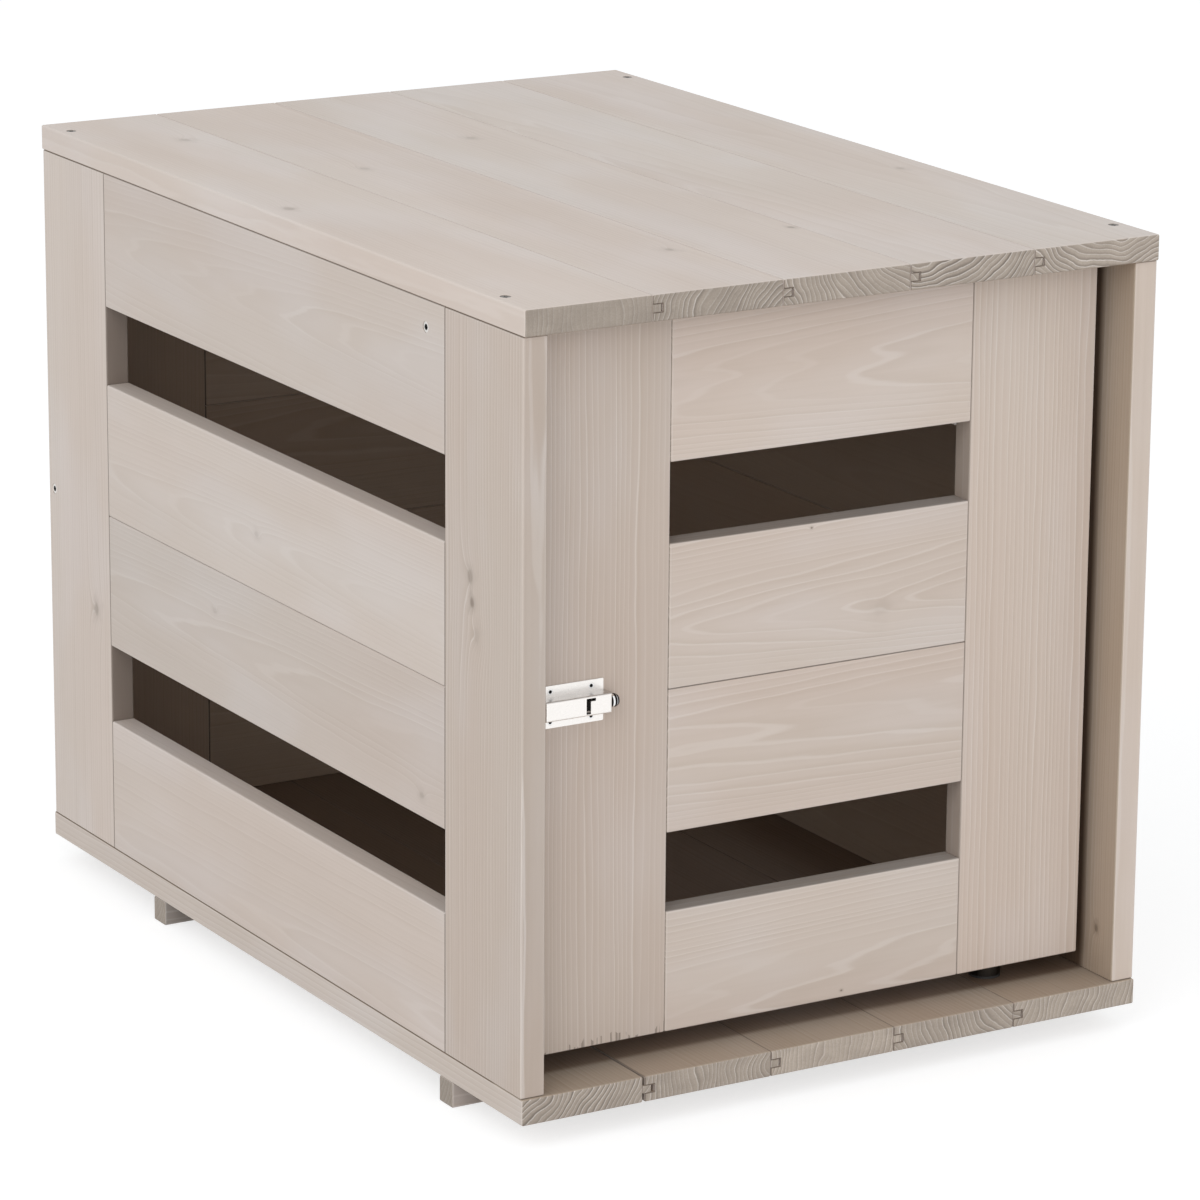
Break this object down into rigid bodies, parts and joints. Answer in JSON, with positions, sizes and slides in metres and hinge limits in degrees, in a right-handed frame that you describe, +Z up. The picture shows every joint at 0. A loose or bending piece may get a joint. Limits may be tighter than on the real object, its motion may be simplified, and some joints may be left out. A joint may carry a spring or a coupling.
{
  "type": "dog house",
  "caption": "Slatted wooden dog house with a flat roof, a board floor on two battens, slotted side walls and a slotted door that turns on a pivot shaft and is held by a slide bolt.",
  "frame": {"origin": "middle of the footprint, at the level the feet stand on", "axes": "+X to the right seen from the front, +Y to the back, +Z up; the door is at the -Y end"},
  "size_m": [0.6, 0.875, 0.69],
  "materials": {
    "washed_pine": "matt white-washed pine",
    "dowel_beech": "plain beech",
    "screw_steel": "zinc-plated steel",
    "latch_screw_black": "blackened steel",
    "shaft_black": "satin black",
    "bush_black": "matt black",
    "latch_zinc": "bright zinc-plated",
    "bolt_chrome": "polished"
  },
  "bodies": {
    "house": {"back_foot": "washed_pine", "back_wall_board_1": "washed_pine", "back_wall_board_2": "washed_pine", "back_wall_board_3": "washed_pine", "back_wall_board_4": "washed_pine", "back_wall_board_5": "washed_pine", "back_wall_dowels": "dowel_beech", "back_wall_left_post": "washed_pine", "back_wall_right_post": "washed_pine", "base_board_1": "washed_pine", "base_board_2": "washed_pine", "base_board_3": "washed_pine", "base_board_4": "washed_pine", "base_board_5": "washed_pine", "base_screws": "screw_steel", "floor_pivot_bush": "bush_black", "foot_screws": "screw_steel", "front_foot": "washed_pine", "left_wall_back_post": "washed_pine", "left_wall_bottom_board": "washed_pine", "left_wall_dowels": "dowel_beech", "left_wall_front_post": "washed_pine", "left_wall_lower_middle_board": "washed_pine", "left_wall_top_board": "washed_pine", "left_wall_upper_middle_board": "washed_pine", "right_wall_back_post": "washed_pine", "right_wall_bottom_board": "washed_pine", "right_wall_dowels": "dowel_beech", "right_wall_front_post": "washed_pine", "right_wall_lower_middle_board": "washed_pine", "right_wall_top_board": "washed_pine", "right_wall_upper_middle_board": "washed_pine", "roof_batten": "washed_pine", "roof_batten_screws": "screw_steel", "roof_board_1": "washed_pine", "roof_board_2": "washed_pine", "roof_board_3": "washed_pine", "roof_board_4": "washed_pine", "roof_board_5": "washed_pine", "roof_pivot_bush": "bush_black", "roof_screws": "screw_steel", "wall_screws": "screw_steel"},
    "door": {"door_bottom_board": "washed_pine", "door_dowels": "dowel_beech", "door_left_stile": "washed_pine", "door_lower_middle_board": "washed_pine", "door_right_stile": "washed_pine", "door_top_board": "washed_pine", "door_upper_middle_board": "washed_pine", "latch_housing": "latch_zinc", "latch_plate": "latch_zinc", "latch_screws": "latch_screw_black", "pivot_screws": "screw_steel", "pivot_shaft": "shaft_black"},
    "bolt": {"latch_bolt": "bolt_chrome"}
  },
  "joints": [
    {"name": "door_swing", "type": "hinge", "parent": "house", "child": "door", "pos_m": [0.196, -0.364, 0.356], "axis": [0, 0, 1], "range_deg": [0, 95]},
    {"name": "bolt_slide", "type": "slide", "parent": "door", "child": "bolt", "axis": [-1, 0, 0], "range_m": [0, 0.009]}
  ]
}
